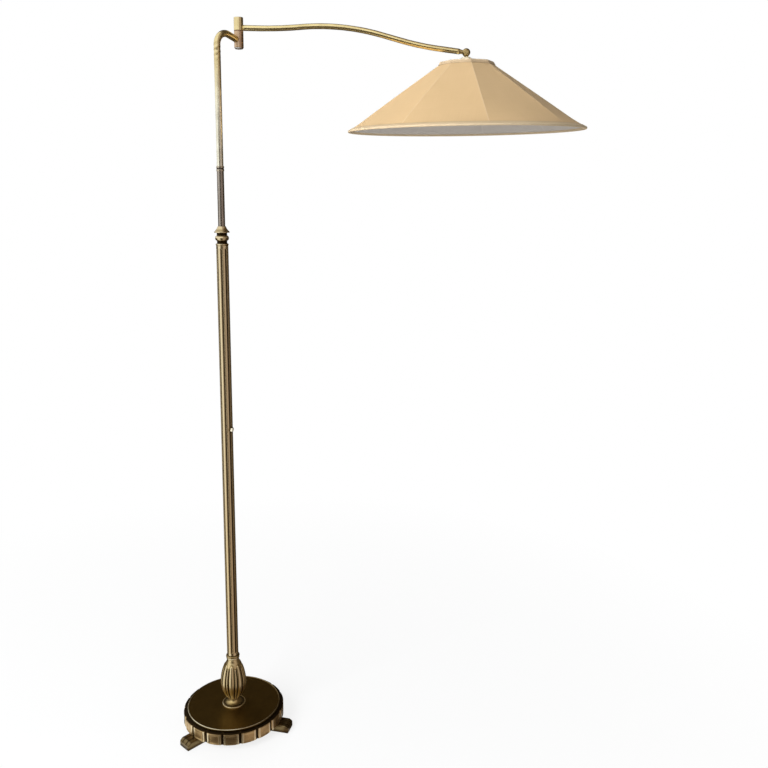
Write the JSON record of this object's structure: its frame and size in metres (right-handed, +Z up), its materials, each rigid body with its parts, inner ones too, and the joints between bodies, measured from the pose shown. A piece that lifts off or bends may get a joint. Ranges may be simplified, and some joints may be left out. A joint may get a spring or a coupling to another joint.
{
  "type": "swing arm floor lamp",
  "caption": "Old brass swing arm floor lamp with a weighted round base, fluted column, sliding mast, curved swing arm, tilting panelled cone shade and push switch.",
  "frame": {"origin": "on the floor, on the axis of the column", "axes": "+Z up along the column, +X the way the arm points at rest, +Y away from the viewer of the picture"},
  "size_m": [0.9045, 0.5114, 1.6116],
  "materials": {
    "antique_brass": "polished old brass with brown patina in the hollows",
    "dark_brass": "satin brass darkened to brown",
    "cast_iron": "raw casting",
    "frame_steel": "plain zinc-plated steel",
    "ivory_plastic": "ivory moulded plastic",
    "porcelain": "white porcelain",
    "bulb_glass": "opal glass",
    "bulb_cap": "plain",
    "shade_cover": "tan plain weave",
    "shade_lining": "pale lining",
    "shade_trim": "woven bias trim",
    "wire_insulation": "insulated flex",
    "fibre_washer": "red fibre"
  },
  "bodies": {
    "stand": {"foot_1": "antique_brass", "foot_2": "antique_brass", "foot_3": "antique_brass", "foot_screws": "frame_steel", "base_apron": "antique_brass", "base_ballast": "cast_iron", "cord_bush": "dark_brass", "base_disc": "dark_brass", "vase_foot": "antique_brass", "vase": "antique_brass", "column_seat_ring": "antique_brass", "tie_rod": "frame_steel", "base_washer": "frame_steel", "base_nut": "frame_steel", "column_plug": "antique_brass", "column_tube": "antique_brass", "switch_body": "ivory_plastic", "switch_bezel": "dark_brass", "column_collar": "antique_brass", "column_wire": "wire_insulation"},
    "button": {"switch_button": "antique_brass"},
    "clamp": {"clamp_nut": "antique_brass"},
    "collet": {"collet": "antique_brass"},
    "mast": {"mast_tube": "antique_brass", "mast_guide": "antique_brass", "mast_joint_ring": "antique_brass", "crook_tube": "antique_brass", "pivot_lower_barrel": "antique_brass", "pivot_pin": "antique_brass", "pivot_bottom_cap": "frame_steel", "pivot_washer": "fibre_washer", "pivot_nut": "antique_brass", "mast_wire": "wire_insulation"},
    "arm": {"arm_barrel": "antique_brass", "pivot_top_cap": "antique_brass", "arm_tube": "antique_brass", "knuckle_fork": "antique_brass", "knuckle_screw": "antique_brass", "knuckle_nut": "antique_brass", "arm_wire": "wire_insulation"},
    "head": {"knuckle_tongue": "antique_brass", "holder_cap": "ivory_plastic", "holder_shell": "ivory_plastic", "holder_insert": "porcelain", "shade_ring_upper": "ivory_plastic", "shade_ring_lower": "ivory_plastic", "bulb_cap": "bulb_cap", "bulb_glass": "bulb_glass", "shade_frame": "frame_steel", "shade_spider": "frame_steel", "shade_cover": "shade_cover", "shade_lining": "shade_lining", "shade_top_trim": "shade_trim", "shade_rim_trim": "shade_trim", "head_wire": "wire_insulation"}
  },
  "joints": [
    {"name": "switch_press", "type": "slide", "parent": "stand", "child": "button", "axis": [-0.8192, 0.5736, 0], "range_m": [0, 0.0025], "stiffness_N_per_m": 400, "springref_m": -0.001},
    {"name": "clamp_turn", "type": "hinge", "parent": "stand", "child": "clamp", "pos_m": [0, 0, 1.16], "axis": [0, 0, 1], "range_deg": [0, 120]},
    {"name": "mast_swivel", "type": "hinge", "parent": "stand", "child": "collet", "pos_m": [0, 0, 1.16], "axis": [0, 0, 1], "range_deg": [-170, 170]},
    {"name": "mast_slide", "type": "slide", "parent": "collet", "child": "mast", "axis": [0, 0, 1], "range_m": [-0.114, 0.15], "deforming": ["column_wire"]},
    {"name": "arm_swing", "type": "hinge", "parent": "mast", "child": "arm", "pos_m": [0.03705, 0.05292, 1.5835], "axis": [0, 0, 1], "range_deg": [-120, 120]},
    {"name": "shade_tilt", "type": "hinge", "parent": "arm", "child": "head", "pos_m": [0.52632, 0.05292, 1.54089], "axis": [0, -1, 0], "range_deg": [-15, 45]}
  ]
}
